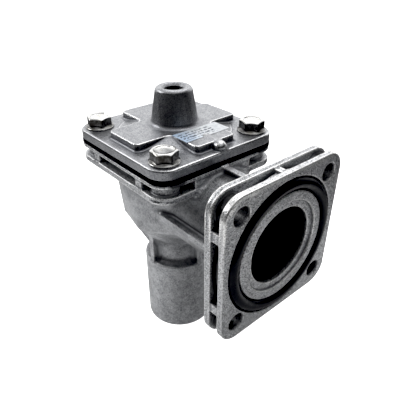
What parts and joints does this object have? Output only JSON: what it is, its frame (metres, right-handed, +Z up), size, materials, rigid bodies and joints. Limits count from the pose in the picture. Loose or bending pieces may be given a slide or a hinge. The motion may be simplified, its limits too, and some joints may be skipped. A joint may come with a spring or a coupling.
{
  "type": "pulse valve",
  "caption": "Right-angle diaphragm pulse valve in cast aluminium: square inlet flange with O-ring, bolted cover with pilot boss, and a ribbed neck to a plain outlet tube.",
  "frame": {"origin": "centre of the bounding box's foot, in the plane of the outlet tube's end", "axes": "+Z up along the valve's axis, from the outlet to the pilot boss; +X out of the inlet flange"},
  "size_m": [0.101, 0.0662, 0.1284],
  "materials": {
    "cast_body": "blasted casting",
    "cast_cover": "blasted casting",
    "zinc_bolt": "zinc plated",
    "ring_rubber": "glossy",
    "diaphragm_rubber": "satin",
    "disc_rubber": "matt",
    "foil": "bare foil label",
    "spring_steel": "bright",
    "bright_steel": "bright"
  },
  "bodies": {
    "valve": {"valve_body": "cast_body", "inlet_duct": "cast_body", "outlet_tube": "cast_body", "cover": "cast_cover", "cover_bolt_1": "zinc_bolt", "cover_bolt_2": "zinc_bolt", "cover_bolt_3": "zinc_bolt", "cover_bolt_4": "zinc_bolt", "inlet_o_ring": "ring_rubber", "label": "foil", "diaphragm": "diaphragm_rubber", "spring": "spring_steel"},
    "closing_set": {"support_plate": "bright_steel", "seat_disc": "disc_rubber", "lower_washer": "bright_steel", "clamp_screw": "bright_steel", "lock_nut": "bright_steel"}
  },
  "joints": [
    {"name": "diaphragm_lift", "type": "slide", "parent": "valve", "child": "closing_set", "axis": [0, 0, 1], "range_m": [0, 0.006], "stiffness_N_per_m": 500, "springref_m": -0.01, "deforming": ["spring", "diaphragm"]}
  ]
}
